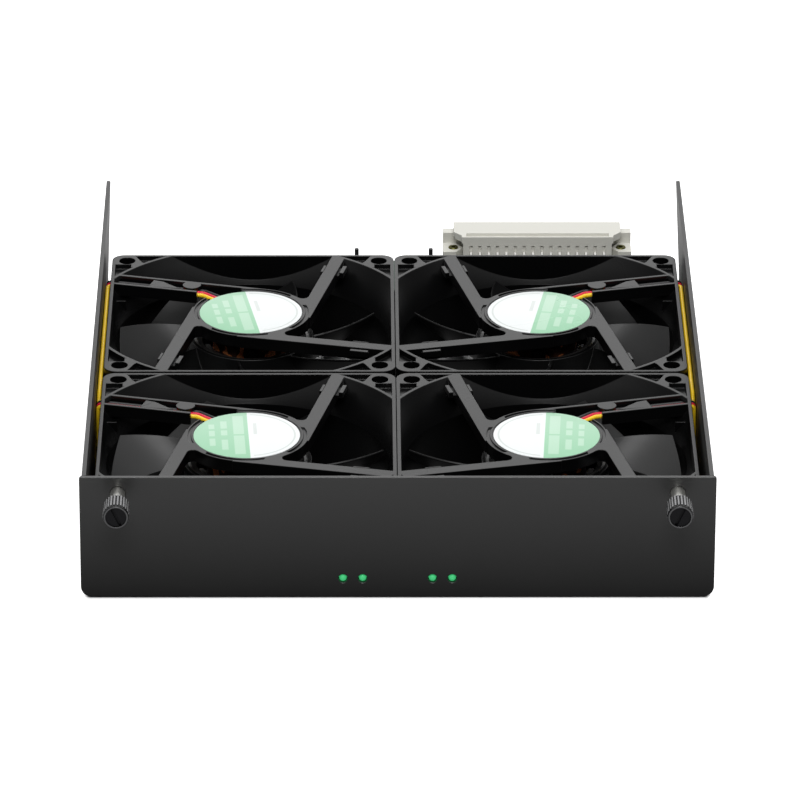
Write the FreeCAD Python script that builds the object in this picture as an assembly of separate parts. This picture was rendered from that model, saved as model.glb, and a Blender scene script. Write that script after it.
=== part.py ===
import FreeCAD, Part
import math
import os

from FreeCAD import Vector

# Rack fan tray: a sheet-metal tray with a front panel, four 80 mm axial fans,
# two captive thumbscrews, four status lamps and a rear connector on a board.
# Millimetres. +X is to the right, +Y to the rear, +Z up. The origin is the
# middle of the outline at the underside of the floor.

# Tray and panel
overall_length = 214.1
sheet = 1.2
bend_radius = 0.6
wall_height = 35.0
tray_half_width = 82.85
panel_width = 167.0
panel_thickness = 1.2
panel_low_corner = 3.0
panel_top_corner = 0.7
knob_reach = 14.6
flange_height = 9.6
tail_step_height = 17.0
shelf_height = 12.0
shelf_rear_y = 95.0
shelf_span = (-32.0, 77.0)
low_flange_span = (32.0, 66.0)
tall_flange_x = 71.0
tall_flange_span = (12.0, 25.0)
low_stud = (49.0, 6.4)
tall_stud = (76.0, 18.5)
standoff_x = (-27.0, 72.0)
standoff_y = (82.0, 92.0)

# Fans
fan_size = 80.0
fan_depth = 25.0
fan_corner = 3.5
fan_pitch_x = 80.2
fan_pitch_y = 81.0
panel_to_fan = 5.0
hole_pitch = 71.5
hole_radius = 2.25
post_radius = 3.65
rim_wall = 1.0
duct_radius = 38.0
duct_wall = 1.4
mouth_radius = 45.3
flare_depth = 8.46
flange_thickness = 3.5
pocket_depth = 1.5
cutout_radius = 37.8

# Motor mount in the top of each fan
strut_depth = 3.5
strut_inner = 13.1
strut_outer = 16.9
strut_lean = 13.0
channel_inner = 9.5
channel_outer = 16.5
channel_lean = 14.0
rail = 1.1
base_radius = 16.5
root_radius = 1.6
latch_span = (32.5, 37.6)
latch_gap = 0.7
latch_width = 1.2
latch_depth = 1.9
nub_span = (32.0, 36.5)
nub_width = 0.8
groove_radius = (15.1, 16.0)
label_radius = 14.3
label_thickness = 0.2
label_offset = -0.15
board_slot_radius = 14.4

# Rotor, measured from the underside of the fan
blade_count = 7
tip_radius = 36.9
hub_radius = 17.3
hub_bottom = 2.5
hub_top = 18.0
hub_wall = 1.2
blade_low = 3.6
blade_high = 18.9
blade_sweep = 24.2
yoke_radius = hub_radius - hub_wall
yoke_wall = 0.8
magnet_thickness = 1.5
shaft_radius = 1.5
shaft_clearance = 0.03
bearing_radius = 3.95
bearing_height = 4.0
core_low = 10.0
core_height = 6.0
rest_turn = {"front": 4.3, "rear": 19.8}

# Leads
lead_radius = 0.6
lead_pitch = 1.4
lead_level_pitch = 1.5
lead_first_level = 3.0
lamp_lead_radius = 0.5

# Thumbscrews and lamps
screw_x = 73.4
screw_z = 30.3
sleeve_length = 7.6
sleeve_radius = 1.95
sleeve_bore = 1.7
screw_radius = 1.25
neck_radius = 1.0
collar_radius = 1.6
thread_from = -3.0
screw_tip = -6.0
lamp_x = (9.2, 14.4)
lamp_z = 5.4

# Rear board and connector
board_low = 13.4
board_thickness = 1.6
connector_x = 41.2
connector_y = 83.6
connector_length = 54.0
connector_height = 12.3
connector_depth = 11.15
contact_pitch = 2.54
contact_count = 16
contact_side = 0.6
rivet_pitch = 48.1
post_x = 10.6
post_y = 82.55
post_top = 24.2
lug_height = 7.1
ear_depth = 3.3

# Positions worked out from the above
front_y = -overall_length / 2 + knob_reach
panel_back_y = front_y + panel_thickness
fan_front_y = front_y + panel_to_fan
fan_x = fan_pitch_x / 2
fan_y = {"front": fan_front_y + fan_size / 2}
fan_y["rear"] = fan_y["front"] + fan_pitch_y
fan_rear_y = fan_y["rear"] + fan_size / 2
floor_rear_y = fan_rear_y + 6.0
tail_tip_y = overall_length / 2
board_top = board_low + board_thickness
wall_inner_x = tray_half_width - sheet
gap_x = (fan_x + fan_size / 2 + wall_inner_x) / 2
trough_y = fan_rear_y + 2.45

X = Vector(1, 0, 0)
Y = Vector(0, 1, 0)
Z = Vector(0, 0, 1)


def box(x0, x1, y0, y1, z0, z1):
    return Part.makeBox(x1 - x0, y1 - y0, z1 - z0, Vector(x0, y0, z0))


def rod(radius, start, axis, length):
    return Part.makeCylinder(radius, length, start, axis)


def tube(outer, inner, z0, z1):
    solid = rod(outer, Z * z0, Z, z1 - z0)
    return solid.cut(rod(inner, Z * (z0 - 1), Z, z1 - z0 + 2))


def prism(points, direction):
    """Extrude the closed outline through the points."""
    return Part.Face(Part.makePolygon(points + points[:1])).extrude(direction)


def revolve(profile, axis=Z, centre=Vector(0, 0, 0)):
    """Turn a closed profile of (radius, height) pairs about Z."""
    points = [Vector(r, 0, z) for r, z in profile]
    face = Part.Face(Part.makePolygon(points + points[:1]))
    return face.revolve(centre, axis, 360)


def turned(shape, degrees):
    copy = shape.copy()
    copy.rotate(Vector(0, 0, 0), Z, degrees)
    return copy


def moved(shape, x, y, z):
    return shape.translated(Vector(x, y, z))


def mirrored(shape):
    return shape.mirror(Vector(0, 0, 0), X)


def rounded_block(width, length, radius, z0, z1):
    block = box(-width / 2, width / 2, -length / 2, length / 2, z0, z1)
    upright = [e for e in block.Edges if abs(e.tangentAt(e.FirstParameter).z) > 0.9]
    return block.makeFillet(radius, upright)


def corners(pitch):
    half = pitch / 2
    return [(sx * half, sy * half) for sx in (-1, 1) for sy in (-1, 1)]


def save(name, solids):
    shape = solids[0] if len(solids) == 1 else Part.makeCompound(solids)
    shape.exportStep("parts/" + name + ".step")


# ---------------------------------------------------------------- the tray

def u_section():
    """Cross-section of the bent sheet, seen along Y."""
    outer = box(-tray_half_width, tray_half_width, 0, 1, 0, wall_height)
    inner = box(-wall_inner_x, wall_inner_x, -1, 2, sheet, wall_height + 1)
    low = [e for e in outer.Edges if abs(e.tangentAt(e.FirstParameter).y) > 0.9]
    low = [e for e in low if e.CenterOfMass.z < 1]
    outer = outer.makeFillet(bend_radius + sheet, low)
    low = [e for e in inner.Edges if abs(e.tangentAt(e.FirstParameter).y) > 0.9]
    low = [e for e in low if e.CenterOfMass.z < sheet + 1]
    return outer.cut(inner.makeFillet(bend_radius, low))


def tray_shell():
    """Floor and walls. The walls run on behind the floor as two pointed tails."""
    section = u_section()
    face = [f for f in section.Faces if abs(f.CenterOfMass.y) < 1e-6][0]
    shell = face.extrude(Y * (tail_tip_y - panel_back_y)).translated(Y * panel_back_y)
    x = tray_half_width + 1
    tail = [
        Vector(-x, floor_rear_y, -1),
        Vector(-x, tail_tip_y + 1, -1),
        Vector(-x, tail_tip_y + 1, wall_height),
        Vector(-x, tail_tip_y, wall_height),
        Vector(-x, floor_rear_y, tail_step_height),
    ]
    return shell.cut(prism(tail, X * (2 * x)))


def front_flanges():
    """Lips folded from the floor and the walls, which the panel is bolted to."""
    y0 = panel_back_y
    y1 = panel_back_y + sheet
    lips = []
    for side in (-1, 1):
        low = sorted(side * x for x in low_flange_span)
        lips.append(box(*low, y0, y1, 0, flange_height))
        tall = sorted((side * tall_flange_x, side * (wall_inner_x + 0.3)))
        lips.append(box(*tall, y0, y1, *tall_flange_span))
    return lips


def rear_shelf():
    """Lip behind the fans and the shelf on it that carries the board."""
    y0 = floor_rear_y - sheet
    lip = box(-80.0, 80.0, y0, floor_rear_y, 0, shelf_height)
    shelf = box(*shelf_span, y0, shelf_rear_y, shelf_height - sheet, shelf_height)
    return [lip, shelf]


def stud_places():
    return [(side * x, z) for x, z in (low_stud, tall_stud) for side in (-1, 1)]


def fan_centres():
    return [
        (side, row, sx * fan_x, fan_y[row])
        for side, sx in (("left", -1), ("right", 1))
        for row in ("front", "rear")
    ]


def standoff_places():
    return [(x, y) for x in standoff_x for y in standoff_y]


def chassis_tray():
    tray = tray_shell().fuse(front_flanges() + rear_shelf())
    cuts = []
    for _, _, x, y in fan_centres():
        cuts.append(rod(cutout_radius, Vector(x, y, -1), Z, sheet + 2))
        for dx, dy in corners(hole_pitch):
            seat = Part.makeCone(3.3, 2.3, 1.0, Vector(x + dx, y + dy, 0), Z)
            cuts.append(seat)
            cuts.append(rod(2.3, Vector(x + dx, y + dy, 0.5), Z, sheet))
    for x, z in stud_places():
        cuts.append(rod(1.6, Vector(x, panel_back_y - 1, z), Y, sheet + 2))
    for x, y in standoff_places():
        cuts.append(rod(1.3, Vector(x, y, shelf_height - sheet - 1), Z, sheet + 2))
    for side in (-1, 1):
        foot = Vector(side * post_x, post_y, shelf_height - sheet - 1)
        cuts.append(rod(0.65, foot, Z, 4))
    return tray.cut(cuts).removeSplitter()


def front_panel():
    """Flat plate with holes for the lamps and for the thumbscrew sleeves."""
    half = panel_width / 2
    plate = box(-half, half, front_y, panel_back_y, 0, wall_height)
    edges = [e for e in plate.Edges if abs(e.tangentAt(e.FirstParameter).y) > 0.9]
    low = [e for e in edges if e.CenterOfMass.z < 1]
    plate = plate.makeFillet(panel_low_corner, low)
    edges = [e for e in plate.Edges if abs(e.CenterOfMass.z - wall_height) < 1e-6]
    high = [e for e in edges if abs(e.tangentAt(e.FirstParameter).y) > 0.9]
    plate = plate.makeFillet(panel_top_corner, high)
    holes = []
    for side in (-1, 1):
        for x in lamp_x:
            holes.append(rod(1.2, Vector(side * x, front_y - 1, lamp_z), Y, 4))
        centre = Vector(side * screw_x, front_y - 1, screw_z)
        holes.append(rod(sleeve_radius + 0.05, centre, Y, 4))
    return plate.cut(holes)


def panel_studs():
    studs = []
    for x, z in stud_places():
        studs.append(rod(1.5, Vector(x, panel_back_y, z), Y, 3.4))
    return studs


def hexagon(across_flats, x, z, y0, y1):
    radius = across_flats / math.sqrt(3)
    points = [
        Vector(x + radius * math.cos(a), y0, z + radius * math.sin(a))
        for a in [math.radians(60 * i) for i in range(6)]
    ]
    return prism(points, Y * (y1 - y0))


def panel_nuts():
    nuts = []
    y0 = panel_back_y + sheet
    for x, z in stud_places():
        nut = hexagon(5.5, x, z, y0, y0 + 1.8)
        nuts.append(nut.cut(rod(1.55, Vector(x, y0 - 1, z), Y, 4)))
    return nuts


# ---------------------------------------------------------------- the fans
# Each is drawn about its own axis with its underside at zero. The right-hand
# fans are the mirror image of the left-hand ones.

def strut_point(along, across, lean):
    """Point on a strut that leans from +Y towards +X beside the hub."""
    angle = math.radians(lean)
    ahead = Vector(math.sin(angle), math.cos(angle), 0)
    aside = Vector(math.cos(angle), -math.sin(angle), 0)
    return ahead * along + aside * across


def strip(s0, s1, o0, o1, lean, z0, z1):
    points = [
        strut_point(s0, o0, lean),
        strut_point(s1, o0, lean),
        strut_point(s1, o1, lean),
        strut_point(s0, o1, lean),
    ]
    return prism([p + Z * z0 for p in points], Z * (z1 - z0))


def frame_outside():
    """Square flanges, a round duct between them, and the flared mouth."""
    top = fan_depth
    throat = top - flare_depth
    wall = duct_radius + duct_wall
    flange = top - flange_thickness
    spread = (mouth_radius - duct_radius) / flare_depth
    reach = fan_size * 0.75
    profile = [
        (0, 0),
        (reach, 0),
        (reach, flange_thickness),
        (wall, flange_thickness),
        (wall, throat),
        (wall + spread * (flange - throat), flange),
        (reach, flange),
        (reach, top),
        (0, top),
    ]
    return revolve(profile)


def frame_inside():
    """Air way: a bore that opens into a cone, cut off flat by the four rims."""
    top = fan_depth
    profile = [
        (0, -1),
        (duct_radius, -1),
        (duct_radius, top - flare_depth),
        (mouth_radius, top),
        (mouth_radius, top + 1),
        (0, top + 1),
    ]
    inner = fan_size - 2 * rim_wall
    return revolve(profile).common(rounded_block(inner, inner, 2.0, -1, top + 1))


def corner_posts(z0, z1):
    """Pads round the screw holes, which widen towards the mouth."""
    outline = [
        (34.0, 40.5), (31.7, 35.2), (30.0, 33.0), (34.5, 31.0),
        (34.5, 33.2), (40.5, 33.2), (40.5, 40.5),
    ]
    pads = []
    for sx in (-1, 1):
        for sy in (-1, 1):
            points = [Vector(sx * x, sy * y, z0) for x, y in outline]
            pads.append(prism(points, Z * (z1 - z0)))
    return pads


def frame_pockets():
    """Shallow pockets between the corner pads, the rims and the mouth."""
    top = fan_depth
    z0 = top - pocket_depth
    inner = fan_size - 2 * rim_wall
    pockets = rounded_block(inner, inner, 2.0, z0, top + 1)
    ring = rod(mouth_radius + rim_wall, Z * (z0 - 1), Z, pocket_depth + 3)
    return pockets.cut([ring] + corner_posts(z0 - 1, top + 2))


def fan_shell():
    square = rounded_block(fan_size, fan_size, fan_corner, 0, fan_depth)
    shell = square.common(frame_outside())
    posts = []
    for x, y in corners(hole_pitch):
        posts.append(rod(post_radius, Vector(x, y, 0), Z, fan_depth))
    for turn in (45, 135, 225, 315):
        posts.append(turned(box(38.5, 48, -0.9, 0.9, 0, fan_depth), turn))
    shell = shell.fuse(posts).cut([frame_inside(), frame_pockets()])
    holes = []
    for x, y in corners(hole_pitch):
        holes.append(rod(hole_radius, Vector(x, y, -1), Z, fan_depth + 2))
    return shell.cut(holes)


def motor_mount():
    """Motor base, its three plain struts and the channel strut for the leads."""
    top = fan_depth
    low = top - strut_depth
    reach = 46.0
    pieces = [rod(base_radius, Z * low, Z, strut_depth)]
    for turn, latch_outside in ((0, True), (-90, True), (180, False)):
        arm = strip(0, reach, strut_inner, strut_outer, strut_lean, low, top)
        aids = strut_aids(latch_outside)
        pieces += [turned(p, turn) for p in [arm, root_fillet()] + aids]
    for start, across in ((18.5, channel_inner), (0.0, channel_outer - rail)):
        side = strip(start, reach, across, across + rail, channel_lean, low, top)
        pieces.append(turned(side, 90))
    floor = strip(22, reach, channel_inner, channel_outer, channel_lean, low, low + 0.8)
    pieces.append(turned(floor, 90))
    pieces += lead_tabs()
    mount = pieces[0].fuse(pieces[1:])
    return mount.common(motor_reach()).cut(motor_hollows())


def strut_aids(latch_outside):
    """A latch on a thin foot on one side of a strut, and a nub on the other."""
    top = fan_depth
    low = top - strut_depth
    root = 1.0
    if latch_outside:
        latch = (strut_outer + latch_gap, strut_outer + latch_gap + latch_width)
        foot = (strut_outer - root, latch[1])
        nub = (strut_inner - nub_width, strut_inner + root)
    else:
        latch = (strut_inner - latch_gap - latch_width, strut_inner - latch_gap)
        foot = (latch[0], strut_inner + root)
        nub = (strut_outer - root, strut_outer + nub_width)
    return [
        strip(*latch_span, *latch, strut_lean, top - latch_depth, top - 0.2),
        strip(*latch_span, *foot, strut_lean, top - latch_depth, top - latch_depth + 0.8),
        strip(*nub_span, *nub, strut_lean, low, top - 0.1),
    ]


def root_fillet():
    """Concave fillet where a strut's inner edge meets the motor base."""
    low = fan_depth - strut_depth
    side = strut_inner - root_radius
    far = base_radius + root_radius
    along = math.sqrt(far ** 2 - side ** 2)
    centre = strut_point(along, side, strut_lean)
    first = strut_point(along, strut_inner, strut_lean) - centre
    last = centre * (-root_radius / far)
    sweep = math.degrees(first.getAngle(last))
    steps = 4
    outline = [strut_point(along - 5, strut_inner + 0.3, strut_lean)]
    outline.append(strut_point(along, strut_inner + 0.3, strut_lean))
    for i in range(steps + 1):
        swing = FreeCAD.Rotation(Z, -sweep * i / steps)
        outline.append(centre + swing.multVec(first))
    outline.append(centre * (0.85 * base_radius / far))
    return prism([p + Z * low for p in outline], Z * strut_depth)


def lead_tabs():
    """Two tabs over the channel that keep the leads down."""
    top = fan_depth
    hooked = [(-29.3, 17.9), (-27.8, 22.3), (-25.2, 21.2), (-20.2, 16.2)]
    points = [Vector(x, y, top - 0.8) for x, y in hooked]
    round_tab = rod(2.6, Vector(-17.0, 18.9, top - 0.8), Z, 0.8)
    channel = strip(5, 30, channel_inner, channel_outer - 0.3, channel_lean, top - 2, top + 1)
    return [prism(points, Z * 0.8), round_tab.common(turned(channel, 90))]


def motor_reach():
    """The struts end in the mouth's cone and in the flat rims."""
    top = fan_depth
    low = top - strut_depth
    spread = (mouth_radius - duct_radius) / flare_depth
    lower = mouth_radius - spread * strut_depth + 0.6
    cone = Part.makeCone(lower, mouth_radius + 0.6, strut_depth, Z * low, Z)
    return cone.common(box(-39.6, 39.6, -39.6, 39.6, low, top))


def polar(radius, degrees):
    angle = math.radians(degrees)
    return Vector(radius * math.cos(angle), radius * math.sin(angle), 0)


def lead_opening():
    """Opening in the base where the leads come up into their channel."""
    z0 = fan_depth - strut_depth - 1
    rail_inside = channel_outer - rail
    edge = [strut_point(along, rail_inside, channel_lean) for along in (7.2, 17.0)]
    outline = [polar(label_radius - 0.3, 101)]
    outline += [Vector(-p.y, p.x, 0) for p in edge]
    outline += [polar(20.0, 142), polar(label_radius - 0.3, 142)]
    wedge = prism([p + Z * z0 for p in outline], Z * (strut_depth + 2))
    under_label = turned(box(7.0, 14.5, -3.4, 3.4, z0, fan_depth + 1), 132)
    return [wedge, under_label]


def motor_hollows():
    """Space for the board, the label's recess, a ring groove and the lead opening."""
    top = fan_depth
    low = top - strut_depth
    under = rod(board_slot_radius, Z * (low - 1), Z, top - 1.8 - low + 1)
    recess = rod(label_radius + 0.2, Z * (top - 0.25), Z, 1)
    groove = tube(groove_radius[1], groove_radius[0], top - 0.4, top + 1)
    root = strip(8, 30, 8, 18, strut_lean, 0, 30)
    groove = groove.cut([turned(root, t) for t in (0, -90, 180)])
    return [under, recess, groove] + lead_opening()


def fan_frame():
    """Frame, struts, motor base and bearing tube: one plastic moulding."""
    tube_top = fan_depth - 1.8
    shell = fan_shell().fuse([motor_mount(), tube(4.8, bearing_radius, 7.0, tube_top)])
    inner = channel_inner + rail
    outer = channel_outer - rail
    notch = strip(36, 50, inner, outer, channel_lean, tube_top - 0.8, fan_depth - 0.9)
    notch = turned(notch, 90)
    latch = box(-39.5, -35.5, 16.6, 17.4, 18.0, 21.0)
    return shell.cut(notch).fuse(latch).removeSplitter()


def blade_section(radius, turn, half_width, z0, z1, camber):
    """Closed outline of the blade on a plane at this distance from the axis."""
    angle = math.radians(turn)
    out = Vector(math.cos(angle), math.sin(angle), 0)
    round_way = Vector(-math.sin(angle), math.cos(angle), 0)

    def place(t, z):
        return out * radius + round_way * t + Z * z

    chord = math.hypot(2 * half_width, z1 - z0)
    nt = -(z1 - z0) / chord
    nz = -2 * half_width / chord
    edge = 0.3
    belly = camber * chord
    middle = 0.5 * (z0 + z1)

    def side(offset, bulge):
        lead = place(half_width + nt * offset, z0 + nz * offset)
        trail = place(-half_width + nt * offset, z1 + nz * offset)
        mid = place(nt * (belly + bulge), middle + nz * (belly + bulge))
        return lead, mid, trail

    a_lead, a_mid, a_trail = side(edge, 0.65)
    b_lead, b_mid, b_trail = side(-edge, -0.65)
    return Part.Wire([
        Part.Arc(a_lead, a_mid, a_trail).toShape(),
        Part.LineSegment(a_trail, b_trail).toShape(),
        Part.Arc(b_trail, b_mid, b_lead).toShape(),
        Part.LineSegment(b_lead, a_lead).toShape(),
    ])


def impeller():
    """Hub cup with swept, twisted blades, open towards the motor base."""
    sections = [
        blade_section(15.8, 0.0, 5.4, blade_low, hub_top - 0.6, 0.10),
        blade_section(27.0, blade_sweep * 0.5, 9.6, blade_low, 18.4, 0.08),
        blade_section(38.0, blade_sweep, 13.5, blade_low, blade_high, 0.06),
    ]
    blade = Part.makeLoft(sections, True, False)
    blade = blade.common(tube(tip_radius, hub_radius - 0.6, 0, fan_depth))
    cup = [
        (0, hub_bottom),
        (hub_radius - 1.2, hub_bottom),
        (hub_radius, hub_bottom + 1.2),
        (hub_radius, hub_top),
        (yoke_radius, hub_top),
        (yoke_radius, hub_bottom + 1.7),
        (0, hub_bottom + 1.7),
    ]
    blades = [turned(blade, 360.0 / blade_count * i) for i in range(blade_count)]
    return revolve(cup).fuse(blades)


def rotor_yoke():
    """Steel cup pressed in the hub, with a boss that grips the shaft."""
    z0 = hub_bottom + 1.7
    inner = yoke_radius - yoke_wall
    profile = [
        (shaft_radius, z0),
        (yoke_radius, z0),
        (yoke_radius, hub_top - 0.5),
        (inner, hub_top - 0.5),
        (inner, z0 + yoke_wall),
        (3.4, z0 + yoke_wall),
        (3.4, z0 + 2.6),
        (shaft_radius, z0 + 2.6),
    ]
    return revolve(profile)


def rotor_magnet():
    outer = yoke_radius - yoke_wall
    return tube(outer, outer - magnet_thickness, hub_bottom + 3.5, hub_top - 1.0)


def rotor_shaft():
    shaft = rod(shaft_radius, Z * (hub_bottom + 1.7), Z, 17.6)
    groove = tube(shaft_radius + 1, 1.1, 21.3, 21.7)
    return shaft.cut(groove)


def shaft_clip():
    """Split ring in the groove of the shaft, which keeps the rotor in."""
    ring = tube(2.6, 1.15, 21.35, 21.65)
    return ring.cut(box(0, 4, -0.6, 0.6, 21, 22))


def stator_core():
    """Laminated core with four T-shaped poles on the bearing tube."""
    z0 = core_low
    z1 = core_low + core_height
    core = rod(7.0, Z * z0, Z, core_height)
    arms = [turned(box(5, 12.4, -2.4, 2.4, z0, z1), 45 + 90 * i) for i in range(4)]
    shoes = tube(13.1, 11.6, z0, z1)
    gaps = [turned(box(10, 14, -2.0, 2.0, z0 - 1, z1 + 1), 90 * i) for i in range(4)]
    core = core.fuse(arms + [shoes.cut(gaps)])
    return core.cut(rod(4.85, Z * (z0 - 1), Z, core_height + 2))


def stator_windings():
    """Copper coil round each of the four poles."""
    coils = []
    for i in range(4):
        coil = box(7.4, 11.3, -4.6, 4.6, core_low - 2.2, core_low + core_height + 3.0)
        edges = [e for e in coil.Edges if abs(e.tangentAt(e.FirstParameter).x) > 0.9]
        coil = coil.makeFillet(1.8, edges).common(rod(11.55, Z, Z, fan_depth))
        coil = coil.cut(box(7, 12, -2.45, 2.45, core_low - 0.05, core_low + core_height + 0.05))
        coils.append(turned(coil, 45 + 90 * i))
    return coils


def motor_board():
    board = tube(board_slot_radius - 0.3, 4.9, 21.7, 22.7)
    sensor = box(8.0, 11.0, -2.0, 2.0, 20.6, 21.7)
    return board.fuse(sensor)


def bearing(z0):
    return tube(bearing_radius, shaft_radius + shaft_clearance, z0, z0 + bearing_height)


def fan_label():
    low = fan_depth - 0.25
    return rod(label_radius, Vector(label_offset, 0, low), Z, label_thickness)


def place_fan(shape, side, row):
    if side == "right":
        shape = mirrored(shape)
    x = fan_x if side == "right" else -fan_x
    return moved(shape, x, fan_y[row], sheet)


def save_fans():
    frame = fan_frame()
    rotor = {
        "impeller": impeller(),
        "rotor_yoke": rotor_yoke(),
        "rotor_magnet": rotor_magnet(),
        "rotor_shaft": rotor_shaft(),
        "shaft_clip": shaft_clip(),
    }
    stators = {
        "stator_cores": [stator_core()],
        "stator_windings": stator_windings(),
        "motor_boards": [motor_board()],
        "fan_bearings": [bearing(8.0), bearing(17.0)],
        "fan_labels": [fan_label()],
    }
    grouped = {name: [] for name in stators}
    for side, row, _, _ in fan_centres():
        tail = "_" + row + "_" + side
        save("fan_frame" + tail, [place_fan(frame, side, row)])
        for name, shape in rotor.items():
            spun = turned(shape, rest_turn[row])
            save(name + tail, [place_fan(spun, side, row)])
        for name, shapes in stators.items():
            grouped[name] += [place_fan(s, side, row) for s in shapes]
    for name, shapes in grouped.items():
        save(name, shapes)


def fan_screws():
    """Flush self-tapping screws, four up into each fan through the floor."""
    one = revolve([(0, 0.05), (3.2, 0.05), (2.2, 1.05), (2.2, 9.0), (0, 9.0)])
    return [
        moved(one, x + dx, y + dy, 0)
        for _, _, x, y in fan_centres()
        for dx, dy in corners(hole_pitch)
    ]


# --------------------------------------------------------------- the leads

def lead(points, bends, radius):
    """Six-sided tube along straight runs joined by tangent arcs."""
    edges = []
    start = points[0]
    for i in range(1, len(points) - 1):
        before = (points[i - 1] - points[i]).normalize()
        after = (points[i + 1] - points[i]).normalize()
        half = before.getAngle(after) / 2
        bend = bends[i - 1]
        back = bend / math.tan(half)
        enter = points[i] + before * back
        leave = points[i] + after * back
        inward = (before + after).normalize()
        middle = points[i] + inward * (bend / math.sin(half) - bend)
        edges.append(Part.LineSegment(start, enter).toShape())
        edges.append(Part.Arc(enter, middle, leave).toShape())
        start = leave
    edges.append(Part.LineSegment(start, points[-1]).toShape())
    path = Part.Wire(edges)
    ahead = (points[1] - points[0]).normalize()
    aside = Z if abs(ahead.z) < 0.9 else X
    third = ahead.cross(aside)
    ring = []
    for i in range(6):
        a = math.radians(60 * i + 30)
        ring.append(points[0] + aside * (radius * math.cos(a)) + third * (radius * math.sin(a)))
    outline = Part.makePolygon(ring + ring[:1])
    return path.makePipeShell([outline], True, False)


def channel_point(along, across):
    """Point in the lead channel of a left-hand fan, at the leads' height."""
    point = strut_point(along, across, channel_lean)
    return Vector(-point.y, point.x, fan_depth - 1.7)


def fan_lead(row, order):
    """One lead of a left-hand fan, from its motor to the plug behind the fans."""
    across = channel_inner + rail + 0.7 + lead_pitch * order
    bend = channel_point(17.0, across)
    origin = Vector(-fan_x, fan_y[row], sheet)
    start = bend + Vector(6.4, -6.4, 0)
    slope = math.tan(math.radians(channel_lean))
    reach = gap_x - fan_x
    leave = Vector(-reach, bend.y + (reach + bend.x) * slope, bend.z)
    runs = [start, bend, leave]
    points = [p + origin for p in runs]
    level = lead_first_level + lead_level_pitch * (order + (3 if row == "rear" else 0))
    bends = [2.2, 1.0]
    if row == "rear" and order == 0:
        loop_y = fan_y["front"] + 28.0
        points.append(Vector(-gap_x, loop_y, points[-1].z))
        bends.append(4.0)
        points.append(Vector(-gap_x, loop_y, level))
        bends.append(4.0)
    else:
        points.append(Vector(-gap_x, points[-1].y, level))
        bends.append(4.0)
    points.append(Vector(-gap_x, trough_y, level))
    bends.append(3.0)
    points.append(Vector(-34.0, trough_y, level))
    return lead(points, bends, lead_radius)


def lamp_lead():
    """Lead from the lamp board, round the right-hand side to the rear plug."""
    y = panel_back_y + 2.2
    z = sheet + 0.6
    points = [
        Vector(20.0, y, z),
        Vector(gap_x, y, z),
        Vector(gap_x, trough_y, z),
        Vector(34.0, trough_y, z),
    ]
    return lead(points, [3.0, 3.0], lamp_lead_radius)


def save_leads():
    for order, colour in enumerate(("yellow", "red", "black")):
        left = [fan_lead(row, order) for row in ("front", "rear")]
        save("fan_leads_" + colour, left + [mirrored(s) for s in left])
    save("lamp_lead", [lamp_lead()])


# ------------------------------------------------------- the rear connector

def board_headers():
    return [box(*sorted((s * 22.0, s * 28.0)), trough_y - 1.8, trough_y + 1.8, 1.5, board_low)
            for s in (-1, 1)]


def lead_plugs():
    return [box(*sorted((s * 28.0, s * 34.0)), trough_y - 1.5, trough_y + 1.5, 1.25, 11.6)
            for s in (-1, 1)]


def connector_board():
    x0 = shelf_span[0] + 1.0
    x1 = shelf_span[1] - 1.0
    board = box(x0, x1, trough_y - 2.2, shelf_rear_y, board_low, board_top)
    holes = [rod(1.35, Vector(x, y, 0), Z, 30) for x, y in standoff_places()]
    holes += [rod(0.7, Vector(s * post_x, post_y, 0), Z, 30) for s in (-1, 1)]
    holes += [rod(1.05, Vector(x, y, 0), Z, 30) for x, y in rivet_places()]
    return board.cut(holes)


def rivet_places():
    return [(connector_x + s * rivet_pitch / 2, connector_y + 4.6) for s in (-1, 1)]


def connector_top():
    """Cover plate of the housing, narrowed by a bevel at each front corner."""
    half = 23.95
    nose = 21.7
    outline = [
        (-half, connector_depth), (-half, 3.9), (-nose, 1.2), (-nose, 0),
        (nose, 0), (nose, 1.2), (half, 3.9), (half, connector_depth),
    ]
    z0 = board_top + connector_height - 2.0
    points = [Vector(connector_x + x, connector_y + y, z0) for x, y in outline]
    return prism(points, Z * 2.0)


def connector_lug(side):
    """Pointed pad beside the body, with the hole for its rivet."""
    end = connector_length / 2
    outline = [(end, 1.5), (23.3, 1.5), (21.2, 4.6), (23.3, 7.9), (end, 7.9)]
    points = [Vector(connector_x + side * x, connector_y + y, board_top) for x, y in outline]
    return prism(points, Z * lug_height)


def connector_housing():
    """Shrouded right-angle connector of half length, lying on the board."""
    x = connector_x
    y0 = connector_y
    y1 = connector_y + connector_depth
    z0 = board_top
    z1 = board_top + connector_height
    body = box(x - 21.3, x + 21.3, y0, y1, z0, z1 - 2.0)
    pieces = [connector_top()]
    for s in (-1, 1):
        pieces.append(connector_lug(s))
        span = sorted((x + s * 21.0, x + s * connector_length / 2))
        pieces.append(box(*span, y1 - ear_depth, y1, z0, z1 - 2.0))
    housing = body.fuse(pieces)
    cuts = [
        box(x - 20.6, x + 20.6, y1 - 6.5, y1 + 1, z0 + 2.4, z1 - 2.4),
        box(x - 20.4, x + 20.4, y0 + 0.5, y0 + 2.9, z1 - 1.0, z1 + 1),
    ]
    for i in range(contact_count):
        cx = x + (i - (contact_count - 1) / 2) * contact_pitch
        cuts.append(box(cx - 0.45, cx + 0.45, y0 - 1, y0 + 0.6, z0 - 1, z1 - 2.8))
    cuts += [rod(1.05, Vector(px, py, z0 - 1), Z, 12) for px, py in rivet_places()]
    return housing.cut(cuts + connector_contacts()).removeSplitter()


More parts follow.
